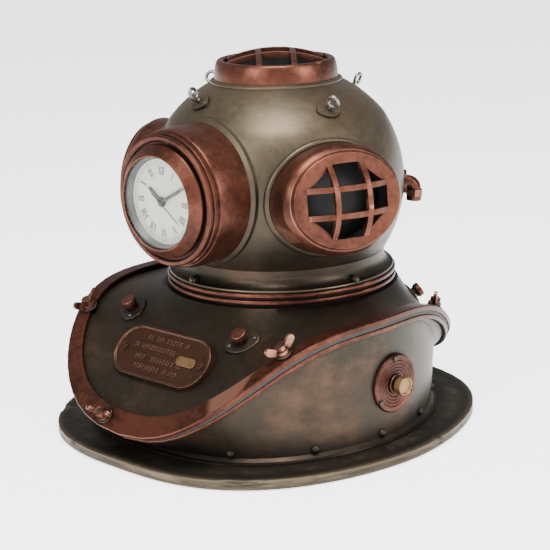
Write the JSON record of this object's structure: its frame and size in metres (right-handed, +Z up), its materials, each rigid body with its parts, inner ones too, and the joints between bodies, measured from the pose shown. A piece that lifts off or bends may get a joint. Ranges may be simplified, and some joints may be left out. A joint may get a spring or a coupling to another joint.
{
  "type": "diver's helmet table clock",
  "caption": "Desk clock shaped as a copper and bronze diving helmet on its corselet, with barred side and top ports and a push-in quartz clock in the front port.",
  "frame": {"origin": "middle of the base's underside, on the surface it stands on", "axes": "+Z up; -Y towards the viewer the clock faces; +X to the right of someone facing the clock"},
  "size_m": [0.186, 0.1919, 0.1719],
  "materials": {
    "felt": "matte",
    "dark_bronze": "satin",
    "bronze": "satin",
    "copper": "satin",
    "gasket": "matte",
    "brass": "satin",
    "silver": "satin",
    "case_metal": "satin",
    "grip_rubber": "matte",
    "lens_glass": "gloss",
    "grey_ring": "satin",
    "dial_paint": "matte",
    "hand_paint": "satin",
    "white_plastic": "satin",
    "black_plastic": "satin",
    "coil_copper": "satin",
    "board_green": "satin"
  },
  "bodies": {
    "helmet": {"base_felt": "felt", "base_plinth": "dark_bronze", "corselet": "bronze", "brail_gasket": "gasket", "upper_brail": "copper", "lower_brail": "copper", "brail_studs": "bronze", "wing_nuts": "copper", "breast_plaque": "copper", "plaque_screws": "copper", "plaque_tab": "brass", "stud_flanges": "bronze", "breast_studs": "copper", "stud_screws": "silver", "valve_discs": "copper", "valve_rivets": "bronze", "valve_hubs": "copper", "valve_knobs": "brass", "foot_rivets": "bronze", "neck_ring_lower": "copper", "neck_ring_upper": "copper", "bonnet_collar": "bronze", "neck_studs": "bronze", "bonnet_dome": "bronze", "front_port_flange": "bronze", "front_port_housing": "copper", "side_port_seats": "bronze", "side_port_housings": "copper", "side_grilles": "copper", "top_port_seat": "bronze", "top_port_ring": "copper", "top_grille": "copper", "eye_plates": "bronze", "screw_eyes": "silver", "goosenecks": "copper", "gooseneck_nuts": "copper"},
    "insert": {"clock_case": "case_metal", "grip_band": "grip_rubber", "clock_bezel": "copper", "clock_lens": "lens_glass", "rehaut_ring": "grey_ring", "dial": "dial_paint", "front_plate": "brass", "rear_plate": "brass", "pillars": "brass", "coil_and_stator": "coil_copper", "circuit_board": "board_green", "battery": "silver"},
    "seconds": {"seconds_wheel": "brass", "second_hand": "hand_paint"},
    "minutes": {"centre_wheel": "brass", "minute_hand": "hand_paint"},
    "hours": {"hour_wheel": "brass", "hour_hand": "hand_paint"},
    "third": {"third_wheel": "brass"},
    "motion": {"motion_wheel": "brass"},
    "intermediate": {"intermediate_wheel": "white_plastic"},
    "rotor": {"rotor": "silver"},
    "setting": {"setting_knob": "black_plastic"},
    "hatch": {"battery_cover": "black_plastic"}
  },
  "joints": [
    {"name": "insert_pull", "type": "slide", "parent": "helmet", "child": "insert", "axis": [0, -1, 0], "range_m": [0, 0.03]},
    {"name": "seconds_spin", "type": "hinge", "parent": "insert", "child": "seconds", "pos_m": [0, -0.061, 0.114], "axis": [0, 1, 0], "continuous": true},
    {"name": "minutes_spin", "type": "hinge", "parent": "insert", "child": "minutes", "pos_m": [0, -0.061, 0.114], "axis": [0, 1, 0], "continuous": true},
    {"name": "hours_spin", "type": "hinge", "parent": "insert", "child": "hours", "pos_m": [0, -0.061, 0.114], "axis": [0, 1, 0], "continuous": true},
    {"name": "third_spin", "type": "hinge", "parent": "insert", "child": "third", "pos_m": [0, -0.061, 0.11976], "axis": [0, 1, 0], "continuous": true},
    {"name": "motion_spin", "type": "hinge", "parent": "insert", "child": "motion", "pos_m": [0.0024, -0.061, 0.10984], "axis": [0, 1, 0], "continuous": true},
    {"name": "intermediate_spin", "type": "hinge", "parent": "insert", "child": "intermediate", "pos_m": [-0.00526, -0.061, 0.11208], "axis": [0, 1, 0], "continuous": true},
    {"name": "rotor_spin", "type": "hinge", "parent": "insert", "child": "rotor", "pos_m": [-0.0079, -0.061, 0.10751], "axis": [0, 1, 0], "continuous": true},
    {"name": "setting_spin", "type": "hinge", "parent": "insert", "child": "setting", "pos_m": [0.0048, -0.061, 0.10569], "axis": [0, 1, 0], "continuous": true},
    {"name": "hatch_pull", "type": "slide", "parent": "insert", "child": "hatch", "axis": [0, 1, 0], "range_m": [0, 0.006]}
  ],
  "couplings": [
    {"joint": "minutes_spin", "follows": "seconds_spin", "ratio": 0.016667},
    {"joint": "hours_spin", "follows": "seconds_spin", "ratio": 0.0013889},
    {"joint": "third_spin", "follows": "seconds_spin", "ratio": -0.125},
    {"joint": "motion_spin", "follows": "seconds_spin", "ratio": -0.0055556},
    {"joint": "intermediate_spin", "follows": "seconds_spin", "ratio": -6},
    {"joint": "rotor_spin", "follows": "seconds_spin", "ratio": 30},
    {"joint": "setting_spin", "follows": "seconds_spin", "ratio": 0.016667}
  ]
}
